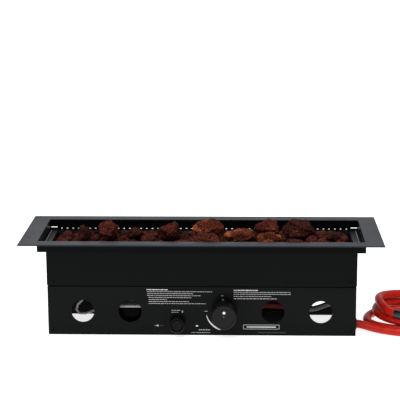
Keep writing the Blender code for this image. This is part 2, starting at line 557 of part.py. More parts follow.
regulator_body = turned("regulator_body", [
    (0, 46), (14, 46), (18, 44.5), (21, 38), (27, 34), (28, 31), (28, 22), (26, 18), (20, 12), (18, 3), (16, 0.6), (0, 0.6)],
    (REG_X, REG_Y, 0), "Z", aluminium(), steps=22)
reg_arms = cylinders("reg_arms", [(7.5, 30, (REG_X, REG_Y - 21, REG_Z), "Y"), (6.2, 44, (REG_X, REG_Y + 25, REG_Z), "Y")],
                     cutter=True, sides=20)
reg_collar = cylinders("reg_collar", [(9.5, 3, (REG_X, REG_Y + 45.8, REG_Z), "Y")], cutter=True, sides=20)
join(regulator_body, reg_arms, reg_collar)
regulator_nut = cylinders("regulator_nut", [(14.5, 15, (REG_X, REG_Y + 36.5, REG_Z), "Y")], brass(), sides=6,
                          origin=(REG_X, REG_Y + 36.5, REG_Z))
nut_wings = boxes("nut_wings", [((REG_X - 22.5, REG_Y + 32, REG_Z - 3.5), (REG_X + 22.5, REG_Y + 41, REG_Z + 3.5))],
                  cutter=True)
nut_bore = cylinders("nut_bore", [(6.6, 40, (REG_X, REG_Y + 36.5, REG_Z), "Y")], cutter=True, sides=20)
join(regulator_nut, nut_wings)
cut(regulator_nut, nut_bore)

# ---------------------------------------------------------------- lava stones
ROCKS = (  # name, centre x, y, half sizes in x and y, top z (mm)
    ("lava_rock_01", -201, 4, 12.5, 15, 174),
    ("lava_rock_02", -160, 8, 17, 18, 180),
    ("lava_rock_03", -112, 12, 14.5, 15, 169),
    ("lava_rock_04", -58, 10, 19.5, 18, 178),
    ("lava_rock_05", 10, 17, 27, 18, 184.5),
    ("lava_rock_06", 7, -27, 25, 19, 172),
    ("lava_rock_07", 62, -6, 25, 20, 172),
    ("lava_rock_08", 109, 20, 21, 17, 183),
    ("lava_rock_09", 113, -26, 20, 17, 173),
    ("lava_rock_10", 164, 14, 28, 20, 184),
    ("lava_rock_11", 212, -8, 17, 18, 169),
)
FILL_TOP = 148.0
rng = random.Random(11)
for name, x, y, ax, ay, top in ROCKS:
    low = FILL_TOP + GAP
    half = (top - low) / 2
    bm = bmesh.new()
    bmesh.ops.create_icosphere(bm, subdivisions=2, radius=1.0)
    seed = Vector((rng.uniform(0, 50), rng.uniform(0, 50), rng.uniform(0, 50)))
    for v in bm.verts:
        d = v.co.normalized()
        lump = 1.0 - 0.16 * abs(noise.noise(d * 1.3 + seed)) - 0.05 * abs(noise.noise(d * 3.1 + seed))
        v.co = Vector((d.x * ax * lump, d.y * ay * lump, d.z * half * lump))
    mesh = bpy.data.meshes.new(name)
    bm.to_mesh(mesh)
    bm.free()
    mesh.transform(Matrix.Translation(Vector((x, y, low + half))))
    place(name, mesh, stone())

lava_rock_fill = boxes("lava_rock_fill", [((-246, -50, GRATE_Z + SHEET + GAP), (246, 50, FILL_TOP))], stone())
soften(lava_rock_fill, 4.0, 2)
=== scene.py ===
"""Looks for a drop-in gas burner with lava stones, control box and coiled gas hose.

Everything is in metres, in the CAD's own frame: +X to the hose end, +Y to the rear, +Z up.
"""
import math
import random

import bmesh
import bpy
import numpy as np
from mathutils import Matrix, Vector, noise


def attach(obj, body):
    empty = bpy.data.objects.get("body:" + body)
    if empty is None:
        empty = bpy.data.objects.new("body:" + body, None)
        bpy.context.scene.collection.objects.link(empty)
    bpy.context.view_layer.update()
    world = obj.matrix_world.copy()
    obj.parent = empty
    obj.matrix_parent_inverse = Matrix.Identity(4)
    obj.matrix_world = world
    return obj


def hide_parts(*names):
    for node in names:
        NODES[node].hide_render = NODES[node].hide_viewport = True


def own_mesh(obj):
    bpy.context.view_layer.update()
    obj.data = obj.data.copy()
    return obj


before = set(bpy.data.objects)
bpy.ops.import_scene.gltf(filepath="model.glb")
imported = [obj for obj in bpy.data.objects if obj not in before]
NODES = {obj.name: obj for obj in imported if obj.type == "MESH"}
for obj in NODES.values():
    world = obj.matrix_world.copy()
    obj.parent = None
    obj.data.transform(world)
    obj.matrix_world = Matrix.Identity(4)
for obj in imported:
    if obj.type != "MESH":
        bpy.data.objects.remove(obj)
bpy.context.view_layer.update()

MM = 0.001
SCENE = bpy.context.scene

# ------------------------------------------------------------------ camera
cam_data = bpy.data.cameras.new("camera")
cam_data.lens = 121.1
cam_data.sensor_width = 36.0
cam_data.sensor_fit = "HORIZONTAL"
cam_data.clip_end = 100.0
camera = bpy.data.objects.new("camera", cam_data)
SCENE.collection.objects.link(camera)
cam_right = Vector((0.99947, 0.03220, -0.00450)).normalized()
cam_forward = Vector((-0.03238, 0.97346, -0.22655)).normalized()
cam_up = cam_right.cross(cam_forward).normalized()
camera.matrix_world = Matrix((
    (cam_right.x, cam_up.x, -cam_forward.x, 0.0701),
    (cam_right.y, cam_up.y, -cam_forward.y, -2.2149),
    (cam_right.z, cam_up.z, -cam_forward.z, 0.7361),
    (0, 0, 0, 1)))
SCENE.camera = camera


# ------------------------------------------------------------------ materials
class Mat:
    """A node material with a few shorthand helpers."""

    def __init__(self, name, color=(0.5, 0.5, 0.5), rough=0.5, metal=0.0, spec=0.5, coat=0.0, coat_rough=0.1,
                 tint=(1.0, 1.0, 1.0)):
        self.mat = bpy.data.materials.new(name)
        self.mat.use_nodes = True
        self.tree = self.mat.node_tree
        self.bsdf = self.tree.nodes["Principled BSDF"]
        self.bsdf.inputs["Base Color"].default_value = (*color, 1.0)
        self.bsdf.inputs["Roughness"].default_value = rough
        self.bsdf.inputs["Metallic"].default_value = metal
        self.bsdf.inputs["Specular IOR Level"].default_value = spec
        self.bsdf.inputs["Coat Weight"].default_value = coat
        self.bsdf.inputs["Coat Roughness"].default_value = coat_rough
        self.bsdf.inputs["Specular Tint"].default_value = (*tint, 1.0)
        self.mat.diffuse_color = (*color, 1.0)
        self.coords = self.tree.nodes.new("ShaderNodeTexCoord").outputs["Object"]

    def node(self, kind, **values):
        made = self.tree.nodes.new(kind)
        for key, value in values.items():
            if key in made.inputs:
                made.inputs[key].default_value = value
            else:
                setattr(made, key, value)
        return made

    def link(self, a, b):
        self.tree.links.new(a, b)

    def stretched(self, scale):
        made = self.node("ShaderNodeMapping")
        made.inputs["Scale"].default_value = scale
        self.link(self.coords, made.inputs["Vector"])
        return made.outputs["Vector"]

    def noise(self, scale, detail=3.0, rough=0.55, vector=None, distortion=0.0):
        made = self.node("ShaderNodeTexNoise")
        made.inputs["Scale"].default_value = scale
        made.inputs["Detail"].default_value = detail
        made.inputs["Roughness"].default_value = rough
        made.inputs["Distortion"].default_value = distortion
        self.link(vector or self.coords, made.inputs["Vector"])
        return made.outputs["Fac"]

    def cells(self, scale, feature="F1", vector=None, randomness=1.0):
        made = self.node("ShaderNodeTexVoronoi")
        made.feature = feature
        made.inputs["Scale"].default_value = scale
        made.inputs["Randomness"].default_value = randomness
        self.link(vector or self.coords, made.inputs["Vector"])
        return made.outputs["Distance"]

    def ramp(self, value, stops):
        made = self.node("ShaderNodeValToRGB")
        elements = made.color_ramp.elements
        while len(elements) < len(stops):
            elements.new(0.5)
        for element, (at, colour) in zip(elements, stops):
            element.position = at
            element.color = (*colour, 1.0) if len(colour) == 3 else colour
        self.link(value, made.inputs["Fac"])
        return made.outputs["Color"]

    def span(self, value, low, high, out_low=0.0, out_high=1.0):
        made = self.node("ShaderNodeMapRange")
        made.inputs["From Min"].default_value = low
        made.inputs["From Max"].default_value = high
        made.inputs["To Min"].default_value = out_low
        made.inputs["To Max"].default_value = out_high
        self.link(value, made.inputs["Value"])
        return made.outputs["Result"]

    def maths(self, operation, a, b):
        made = self.node("ShaderNodeMath")
        made.operation = operation
        for slot, value in ((0, a), (1, b)):
            if isinstance(value, (int, float)):
                made.inputs[slot].default_value = value
            else:
                self.link(value, made.inputs[slot])
        return made.outputs["Value"]

    def mix(self, factor, a, b, blend="MIX"):
        made = self.node("ShaderNodeMix")
        made.data_type = "RGBA"
        made.blend_type = blend
        for key, value in (("Factor", factor), ("A", a), ("B", b)):
            socket = [s for s in made.inputs if s.name == key and (s.type == "RGBA") == (key != "Factor") and s.enabled][0]
            if isinstance(value, (int, float)):
                socket.default_value = value
            elif isinstance(value, tuple):
                socket.default_value = (*value, 1.0)
            else:
                self.link(value, socket)
        return [s for s in made.outputs if s.type == "RGBA"][0]

    def color(self, output):
        self.link(output, self.bsdf.inputs["Base Color"])

    def rough(self, output):
        self.link(output, self.bsdf.inputs["Roughness"])

    def bump(self, height, distance, strength=1.0, after=None):
        made = self.node("ShaderNodeBump")
        made.inputs["Strength"].default_value = strength
        made.inputs["Distance"].default_value = distance
        self.link(height, made.inputs["Height"])
        if after is not None:
            self.link(after, made.inputs["Normal"])
        self.link(made.outputs["Normal"], self.bsdf.inputs["Normal"])
        return made.outputs["Normal"]


def powder_coat(name, dark, light, rough, spec, grain=1400.0, tint=(1.0, 1.0, 1.0)):
    """Fine orange-peel powder coat with faint cloudy unevenness and a few light rubs."""
    m = Mat(name, dark, rough, 0.0, spec, tint=tint)
    cloud = m.noise(14.0, 4.0, 0.6)
    speck = m.noise(grain, 2.0, 0.5)
    base = m.ramp(cloud, ((0.35, dark), (0.7, light)))
    tint = m.ramp(speck, ((0.42, (0.82, 0.82, 0.82)), (0.62, (1.12, 1.12, 1.12))))
    base = m.mix(1.0, base, tint, "MULTIPLY")
    rub = m.span(m.noise(9.0, 6.0, 0.7, m.stretched((1.0, 1.0, 5.0)), 0.6), 0.62, 0.75)
    base = m.mix(m.maths("MULTIPLY", rub, 0.25), base, tuple(min(1.0, c * 1.9) for c in light))
    m.color(base)
    m.rough(m.span(m.maths("ADD", m.maths("MULTIPLY", cloud, 0.7), m.maths("MULTIPLY", speck, 0.3)),
                   0.3, 0.7, rough - 0.06, rough + 0.08))
    m.bump(m.noise(grain * 0.6, 3.0, 0.5), 0.00004, 0.35)
    return m.mat


def plastic(name, base, rough, spec=0.4, grain=2600.0, bump=0.00002):
    """Moulded plastic with a fine spark-eroded grain."""
    m = Mat(name, base, rough, 0.0, spec)
    tone = m.noise(60.0, 3.0, 0.5)
    m.color(m.ramp(tone, ((0.3, tuple(c * 0.85 for c in base)), (0.7, tuple(min(1.0, c * 1.25) for c in base)))))
    m.rough(m.span(m.noise(220.0, 3.0, 0.6), 0.3, 0.7, rough - 0.05, rough + 0.07))
    m.bump(m.noise(grain, 2.0, 0.6), bump, 0.5)
    return m.mat


def brushed(name, base, rough, along="X", metal=1.0, dirt=0.15):
    """Drawn or brushed metal: fine streaks along one axis, slight tarnish."""
    m = Mat(name, base, rough, metal, 0.5)
    stretch = {"X": (8.0, 900.0, 900.0), "Y": (900.0, 8.0, 900.0), "Z": (900.0, 900.0, 8.0)}[along]
    streak = m.noise(1.0, 2.0, 0.5, m.stretched(stretch))
    tarnish = m.noise(45.0, 5.0, 0.65)
    shade = m.ramp(tarnish, ((0.35, tuple(c * (1 - dirt) for c in base)), (0.65, tuple(min(1.0, c * 1.06) for c in base))))
    m.color(m.mix(0.5, shade, m.ramp(streak, ((0.3, tuple(c * 0.88 for c in base)), (0.7, base)))))
    m.rough(m.span(streak, 0.3, 0.7, rough - 0.06, rough + 0.12))
    m.bump(streak, 0.00002, 0.25)
    return m.mat


def cast_metal(name, base, rough, grain=700.0, metal=1.0):
    """Die-cast body: slightly dimpled skin, dull."""
    m = Mat(name, base, rough, metal, 0.5)
    tone = m.noise(60.0, 4.0, 0.6)
    m.color(m.ramp(tone, ((0.3, tuple(c * 0.78 for c in base)), (0.7, tuple(min(1.0, c * 1.08) for c in base)))))
    m.rough(m.span(m.noise(300.0, 3.0, 0.6), 0.3, 0.7, rough - 0.08, rough + 0.1))
    m.bump(m.noise(grain, 3.0, 0.6), 0.00007, 0.5)
    return m.mat


def enamel_steel():
    """The pan: dark enamelled sheet with heat bloom and stone dust."""
    m = Mat("pan_steel_look", (0.012, 0.012, 0.013), 0.42, 0.0, 0.22)
    heat = m.noise(24.0, 5.0, 0.65)
    base = m.ramp(heat, ((0.3, (0.0035, 0.0037, 0.0040)), (0.55, (0.0075, 0.0074, 0.0075)), (0.8, (0.016, 0.012, 0.010))))
    dust = m.span(m.noise(260.0, 4.0, 0.7), 0.55, 0.75)
    m.color(m.mix(m.maths("MULTIPLY", dust, 0.5), base, (0.040, 0.015, 0.010)))
    m.rough(m.span(heat, 0.3, 0.7, 0.3, 0.55))
    m.bump(m.noise(500.0, 3.0, 0.6), 0.00005, 0.4)
    return m.mat


def lava(name, dark, mid, warm, warm_from=0.58):
    """Scoria: rust to dark brown, full of fine open pores."""
    m = Mat(name, mid, 0.95, 0.0, 0.05)
    broad = m.noise(34.0, 4.0, 0.6, None, 0.4)
    fine = m.noise(420.0, 5.0, 0.7)
    base = m.ramp(broad, ((0.30, dark), (0.48, mid), (warm_from, mid), (warm_from + 0.14, warm)))
    grit = m.ramp(fine, ((0.34, (0.22, 0.20, 0.20)), (0.5, (0.92, 0.90, 0.90)), (0.66, (2.1, 2.0, 1.95))))
    base = m.mix(1.0, base, grit, "MULTIPLY")
    pores = m.cells(330.0, "F1", None, 1.0)
    big_pores = m.cells(140.0, "F1", None, 1.0)
    hole = m.span(pores, 0.12, 0.34)
    big_hole = m.span(big_pores, 0.10, 0.30)
    # the pores are painted darker toward their centres: painted shade inside the pores, on top of their bump
    shade = m.maths("MULTIPLY", m.span(hole, 0.0, 1.0, 0.45, 1.0), m.span(big_hole, 0.0, 1.0, 0.35, 1.0))
    base = m.mix(1.0, base, m.ramp(shade, ((0.0, (0.0, 0.0, 0.0)), (1.0, (1.0, 1.0, 1.0)))), "MULTIPLY")
    m.color(base)
    m.rough(m.span(fine, 0.3, 0.7, 0.85, 1.0))
    first = m.bump(m.maths("ADD", m.maths("MULTIPLY", hole, 0.6), m.maths("MULTIPLY", fine, 0.9)), 0.0006, 0.8)
    m.bump(big_hole, 0.0011, 0.7, first)
    return m.mat


def hose_rubber(name, base, bright):
    """Smooth extruded hose with a slight sheen, fine lengthwise marks and scuffs."""
    m = Mat(name, base, 0.36, 0.0, 0.16, 0.02, 0.25)
    tone = m.noise(70.0, 4.0, 0.6)
    scuff = m.span(m.noise(180.0, 6.0, 0.75, None, 0.5), 0.60, 0.75)
    col = m.ramp(tone, ((0.3, tuple(c * 0.86 for c in base)), (0.7, bright)))
    m.color(m.mix(m.maths("MULTIPLY", scuff, 0.22), col, (min(1.0, bright[0] * 1.1), bright[1] * 1.9, bright[2] * 2.0)))
    m.rough(m.span(m.noise(90.0, 4.0, 0.6), 0.3, 0.7, 0.24, 0.42))
    m.bump(m.noise(1500.0, 2.0, 0.5), 0.00003, 0.3)
    return m.mat


def woven(name, base):
    """Glass-fibre sleeve: a fine diagonal braid."""
    m = Mat(name, base, 0.7, 0.0, 0.4)
    a = m.node("ShaderNodeTexWave", wave_type="BANDS", bands_direction="DIAGONAL")
    a.inputs["Scale"].default_value = 420.0
    m.link(m.coords, a.inputs["Vector"])
    b = m.node("ShaderNodeTexWave", wave_type="BANDS", bands_direction="DIAGONAL")
    b.inputs["Scale"].default_value = 420.0
    turn = m.node("ShaderNodeMapping")
    turn.inputs["Rotation"].default_value = (0.0, math.radians(90), 0.0)
    m.link(m.coords, turn.inputs["Vector"])
    m.link(turn.outputs["Vector"], b.inputs["Vector"])
    weave = m.maths("MAXIMUM", a.outputs["Fac"], b.outputs["Fac"])
    m.color(m.ramp(weave, ((0.2, tuple(c * 0.45 for c in base)), (0.9, tuple(min(1.0, c * 1.2) for c in base)))))
    m.bump(weave, 0.0002, 0.6)
    return m.mat


def print_ink(name, base):
    m = Mat(name, base, 0.55, 0.0, 0.3)
    m.color(m.ramp(m.noise(900.0, 3.0, 0.6), ((0.3, tuple(c * 0.7 for c in base)), (0.65, base))))
    return m.mat


M_FRAME = powder_coat("frame_paint_look", (0.0038, 0.0056, 0.0126), (0.0056, 0.0082, 0.0176), 0.32, 0.258, 1400.0,
                      (0.84, 0.90, 1.0))
# a near-black copy of the frame paint for the recess walls and the underside: painted shade
M_FRAME_PAINTED_SHADE = powder_coat("frame_painted_shade_look", (0.0012, 0.0014, 0.0018), (0.0022, 0.0024, 0.0030), 0.40, 0.05)
M_BODY = powder_coat("black_paint_look", (0.0014, 0.0018, 0.0017), (0.0023, 0.0029, 0.0027), 0.34, 0.062)
M_PANEL = powder_coat("panel_paint_look", (0.0017, 0.0021, 0.0021), (0.0027, 0.0032, 0.0032), 0.30, 0.078)
M_PAN = enamel_steel()
M_RIM = powder_coat("pan_rim_look", (0.0060, 0.0062, 0.0068), (0.0100, 0.0102, 0.0110), 0.42, 0.16)
# light grey for the tops of the pan's end lips: a painted highlight for their bright edge lines
M_RIM_PAINTED_HIGHLIGHT = powder_coat("rim_painted_highlight_look", (0.120, 0.125, 0.135), (0.170, 0.176, 0.188), 0.38, 0.40, 1400.0)
M_STEEL = brushed("stainless_look", (0.55, 0.54, 0.52), 0.30, "X")
M_STEEL_Y = brushed("stainless_turned_look", (0.58, 0.57, 0.55), 0.26, "Y")
M_GRATE = brushed("grate_look", (0.30, 0.28, 0.26), 0.45, "X", 1.0, 0.4)
M_ALU = cast_metal("die_cast_look", (0.60, 0.60, 0.61), 0.42)
M_ALU_PIPE = brushed("drawn_aluminium_look", (0.62, 0.62, 0.63), 0.33, "X")
# a near-black copy of the aluminium for the inlet pipe
M_PIPE_DARK = brushed("near_black_aluminium_look", (0.11, 0.115, 0.115), 0.40, "X", 1.0, 0.35)
M_BRASS = brushed("brass_look", (0.66, 0.47, 0.20), 0.28, "Y")
M_KNOB = plastic("knob_plastic_look", (0.0052, 0.0054, 0.0056), 0.34, 0.13)
M_IGN = plastic("igniter_plastic_look", (0.0016, 0.0018, 0.0020), 0.26, 0.09)
M_MODULE = plastic("module_plastic_look", (0.0008, 0.0008, 0.0008), 0.30, 0.03)
# light grey for the spark module's upward faces: a painted highlight standing in for the glossy top's reflection of the
# light through the rear vent
M_MODULE_PAINTED_HIGHLIGHT = plastic("module_top_painted_highlight_look", (0.60, 0.60, 0.58), 0.35, 0.5)
M_HOSE = hose_rubber("red_hose_look", (0.42, 0.0085, 0.0035), (0.54, 0.016, 0.006))
# a much darker copy of the red hose for the short hose inside the box: painted shade
M_HOSE_PAINTED_SHADE = hose_rubber("red_hose_painted_shade_look", (0.075, 0.003, 0.002), (0.11, 0.004, 0.003))
M_TAPE = plastic("black_tape_look", (0.006, 0.006, 0.006), 0.20, 0.6)
M_RUBBER = plastic("black_rubber_look", (0.012, 0.012, 0.012), 0.62, 0.35, 1800.0, 0.00004)
M_CERAMIC = plastic("white_ceramic_look", (0.78, 0.76, 0.71), 0.22, 0.5, 1200.0, 0.00001)
M_SLEEVE = woven("grey_sleeve_look", (0.52, 0.50, 0.48))
M_INK = print_ink("panel_ink", (0.42, 0.43, 0.42))
M_INK_BRIGHT = print_ink("panel_ink_bright", (0.80, 0.80, 0.78))
M_INK_DIM = print_ink("panel_ink_dim", (0.12, 0.12, 0.12))
M_LAVA = lava("lava_look", (0.0150, 0.0042, 0.0032), (0.058, 0.0125, 0.0086), (0.125, 0.030, 0.016))
M_LAVA_WARM = lava("lava_warm_look", (0.028, 0.0068, 0.0045), (0.088, 0.021, 0.010), (0.23, 0.070, 0.026), 0.5)
M_LAVA_DARK = lava("lava_dark_look", (0.0085, 0.0032, 0.0026), (0.034, 0.0092, 0.0066), (0.082, 0.022, 0.013))

LOOKS = {
    "top_frame": M_FRAME, "burner_housing": M_BODY, "control_box": M_BODY, "control_panel": M_PANEL,
    "burner_pan": M_PAN, "rock_grate": M_GRATE, "burner_tube": M_STEEL, "burner_saddle_left": M_STEEL,
    "burner_saddle_right": M_STEEL, "air_shutter": M_STEEL, "venturi_tube": M_ALU, "injector_holder": M_BRASS,
    "injector_jet": M_BRASS, "valve_body": M_ALU, "valve_plug": M_BRASS, "valve_stem": M_STEEL_Y,
    "stem_spring": M_STEEL_Y, "magnet_unit": M_ALU, "thermocouple_nut": M_BRASS, "outlet_pipe": M_ALU_PIPE,
    "inlet_pipe": M_PIPE_DARK, "inner_hose": M_HOSE_PAINTED_SHADE, "hose_nozzle": M_BRASS, "pipe_bracket": M_BODY,
    "thermocouple_probe": M_STEEL, "thermocouple_lead": M_SLEEVE, "sensor_bracket": M_STEEL,
    "electrode_ceramic": M_CERAMIC, "electrode_rod": M_STEEL, "ignition_lead": M_HOSE, "spark_module": M_MODULE,
    "igniter_housing": M_IGN, "igniter_battery": M_STEEL_Y, "igniter_cap": M_IGN, "igniter_button": M_IGN,
    "igniter_spring": M_STEEL_Y, "hose_grommet": M_RUBBER, "hose_ferrule": M_STEEL_Y, "regulator_body": M_ALU,
    "regulator_nut": M_BRASS, "control_knob": M_KNOB,
}
for number in range(1, 5):
    LOOKS["panel_screw_%d" % number] = M_BODY
for name, look in LOOKS.items():
    obj = NODES[name]
    obj.data.materials.clear()
    obj.data.materials.append(look)


# ------------------------------------------------------------------ small builders
def add(name, mesh, look, smooth=True, angle=35.0):
    obj = bpy.data.objects.new(name, mesh)
    SCENE.collection.objects.link(obj)
    mesh.materials.append(look)
    if smooth:
        mesh.shade_smooth()
        mesh.set_sharp_from_angle(angle=math.radians(angle))
    return obj


def turned(name, profile, centre, toward, look, sides=96, angle=35.0):
    """A profile of (radius, height) in mm turned about an axis. It closes on the axis or as a ring."""
    bm = bmesh.new()
    toward = Vector(toward).normalized()
    turn = Vector((0, 0, 1)).rotation_difference(toward).to_matrix().to_4x4()
    rings = []
    for r, h in profile:
        if r < 1e-9:
            rings.append([bm.verts.new((0, 0, h * MM))])
        else:
            rings.append([bm.verts.new((r * MM * math.cos(2 * math.pi * k / sides),
                                        r * MM * math.sin(2 * math.pi * k / sides), h * MM)) for k in range(sides)])
    pairs = list(zip(rings, rings[1:]))
    if len(rings[0]) > 1 and len(rings[-1]) > 1:
        pairs.append((rings[-1], rings[0]))
    for a, b in pairs:
        for k in range(sides):
            j = (k + 1) % sides
            if len(a) == 1 and len(b) > 1:
                bm.faces.new((a[0], b[k], b[j]))
            elif len(b) == 1 and len(a) > 1:
                bm.faces.new((a[k], b[0], a[j]))
            elif len(a) > 1:
                bm.faces.new((a[k], b[k], b[j], a[j]))
    bmesh.ops.recalc_face_normals(bm, faces=bm.faces)
    bmesh.ops.transform(bm, matrix=Matrix.Translation(Vector(centre) * MM) @ turn, verts=bm.verts)
    mesh = bpy.data.meshes.new(name)
    bm.to_mesh(mesh)
    bm.free()
    return add(name, mesh, look, True, angle)


def refined(node, look, bevel=0.0, segments=2, angle=30.0, name=None, body="burner"):
    """The CAD node's own shape with its edges rounded, as a piece of its own."""
    source = NODES[node].data
    bm = bmesh.new()
    bm.from_mesh(source)
    bmesh.ops.remove_doubles(bm, verts=bm.verts, dist=0.000002)
    bmesh.ops.dissolve_limit(bm, angle_limit=math.radians(0.6), verts=bm.verts, edges=bm.edges)
    mesh = bpy.data.meshes.new(name or node + "_look")
    bm.to_mesh(mesh)
    bm.free()
    obj = add(name or node + "_look", mesh, look, True, angle)
    if bevel:
        mod = obj.modifiers.new("edges", "BEVEL")
        mod.width = bevel * MM
        mod.segments = segments
        mod.limit_method = "ANGLE"
        mod.angle_limit = math.radians(angle)
        mod.use_clamp_overlap = True
        mod.harden_normals = True
    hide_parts(node)
    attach(obj, body)
    return obj


# ------------------------------------------------------------------ the gas hose, first
HOSE_R = 0.007


def hose_route():
    """From the nozzle, out through the grommet and down to the floor, three and a quarter turns, then to the regulator."""
    pts = [Vector(p) * MM for p in ((250.4, -28, 12.5), (256, -28, 12.5), (262, -28, 12.45), (268, -28.4, 12.0),
                                    (275, -30.4, 10.6), (286, -34.6, 8.4), (300, -42.0, 7.3), (316, -49.6, 7.1))]
    keys = ((0.00, 334.5, 6.0, 7.1), (0.25, 337.0, 10.0, 7.1), (0.75, 345.5, 8.0, 7.1), (0.92, 349.0, 17.0, 7.1),
            (1.00, 351.0, 19.0, 7.1), (1.25, 356.0, 23.0, 8.5), (1.50, 358.0, 20.0, 15.5), (1.75, 361.0, 15.0, 21.0),
            (1.91, 362.5, 15.5, 17.0), (2.00, 363.5, 16.5, 17.5), (2.25, 367.0, 21.0, 22.5), (2.50, 365.0, 18.5, 33.0),
            (2.75, 366.0, 20.0, 39.4), (2.90, 368.0, 9.0, 26.5), (3.00, 369.5, 8.0, 26.0), (3.25, 373.0, 30.0, 38.4))

    def at(u):
        for (u0, *a), (u1, *b) in zip(keys, keys[1:]):
            if u <= u1 + 1e-9:
                t = (u - u0) / (u1 - u0)
                t = t * t * (3 - 2 * t)
                return [p + (q - p) * t for p, q in zip(a, b)]
        return list(keys[-1][1:])

    steps = 156
    for i in range(steps + 1):
        u = 3.25 * i / steps
        cx, cy, z = at(u)
        radius = 62.0 if u < 2.85 else 62.0 - 2.0 * math.sin(math.pi * (u - 2.85) / 0.4)
        a = -math.pi / 2 + 2 * math.pi * u
        pts.append(Vector((cx + radius * math.cos(a), cy + radius * math.sin(a), z)) * MM)
    pts += [Vector(p) * MM for p in ((434.8, 44, 38.4), (435.6, 58, 35.5), (436.2, 72, 31.0), (436.8, 86, 27.0),
                                     (437, 98, 24.6), (437, 106, 24.0), (437, 112.4, 24.0))]
    return pts


def resample(points, count):
    """Evenly spaced points along a polyline."""
    pts = np.array([tuple(p) for p in points])
    seg = np.linalg.norm(np.diff(pts, axis=0), axis=1)
    run = np.concatenate(([0.0], np.cumsum(seg)))
    want = np.linspace(0.0, run[-1], count)
    return np.stack([np.interp(want, run, pts[:, k]) for k in range(3)], 1), run[-1]


def settle(pts, rounds=200):
    """The hose pushes itself apart where it lies on itself, and stays on the floor."""
    n = len(pts)
    gap = 2 * HOSE_R + 0.0002
    index = np.arange(n)
    hold = np.clip(np.minimum((index - 12) / 10.0, (n - 8 - index) / 8.0), 0.0, 1.0)[:, None]
    start = pts.copy()
    moved = np.zeros_like(pts)
    for r in range(rounds):
        pts = start + moved
        diff = pts[:, None, :] - pts[None, :, :]
        dist = np.linalg.norm(diff, axis=2)
        near = (dist < gap) & (np.abs(index[:, None] - index[None, :]) > 12)
        if near.any():
            push = np.where(near, (gap - dist) * 0.5, 0.0)
            way = diff / np.maximum(dist, 1e-9)[:, :, None]
            moved += hold * (way * push[:, :, None]).sum(1) / np.maximum(near.sum(1), 1)[:, None]
        soft = moved.copy()
        soft[1:-1] = moved[1:-1] * 0.6 + 0.2 * (moved[:-2] + moved[2:])
        if r < rounds - 40:
            moved = soft
        moved[:, 2] = np.maximum(moved[:, 2], HOSE_R + 0.0001 - start[:, 2])
    pts = start + moved
    diff = np.linalg.norm(pts[:, None, :] - pts[None, :, :], axis=2)
    diff[np.abs(index[:, None] - index[None, :]) <= 12] = 1.0
    print("hose: closest pass", round(float(diff.min()) * 1000, 2), "mm; moved at most",
          round(float(np.linalg.norm(moved, axis=1).max()) * 1000, 2), "mm")
    return pts


route, route_length = resample(hose_route(), 240)
route = settle(route)
route, route_length = resample(route, 210)
curve = bpy.data.curves.new("gas_hose_run", "CURVE")
curve.dimensions = "3D"
curve.bevel_depth = HOSE_R
curve.bevel_resolution = 7
curve.use_fill_caps = True
curve.resolution_u = 3
spline = curve.splines.new("NURBS")
spline.points.add(len(route) - 1)
for point, co in zip(spline.points, route):
    point.co = (*co, 1.0)
spline.order_u = 4
spline.use_endpoint_u = True
curve.materials.append(M_HOSE)
hose = bpy.data.objects.new("gas_hose_run", curve)
SCENE.collection.objects.link(hose)
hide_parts("gas_hose", "gas_hose_coil", "gas_hose_tail")
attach(hose, "burner")
print("hose route", round(route_length, 4))


# a wrap of black tape round the top turn, in front
wrap_at = [i for i, p in enumerate(route) if 0.3235 < p[0] < 0.3400 and p[1] < -0.020 and i > len(route) * 0.6]
wrap_curve = bpy.data.curves.new("hose_tape", "CURVE")
wrap_curve.dimensions = "3D"
wrap_curve.bevel_depth = HOSE_R + 0.0009
wrap_curve.bevel_resolution = 7
wrap_curve.use_fill_caps = True
wrap_spline = wrap_curve.splines.new("POLY")
wrap_spline.points.add(len(wrap_at) - 1)
for point, i in zip(wrap_spline.points, wrap_at):
    point.co = (*route[i], 1.0)
wrap_curve.materials.append(M_TAPE)
wrap = bpy.data.objects.new("hose_tape", wrap_curve)
SCENE.collection.objects.link(wrap)
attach(wrap, "burner")
print("tape over", len(wrap_at), "points")

# ------------------------------------------------------------------ stones
rng = random.Random(7)


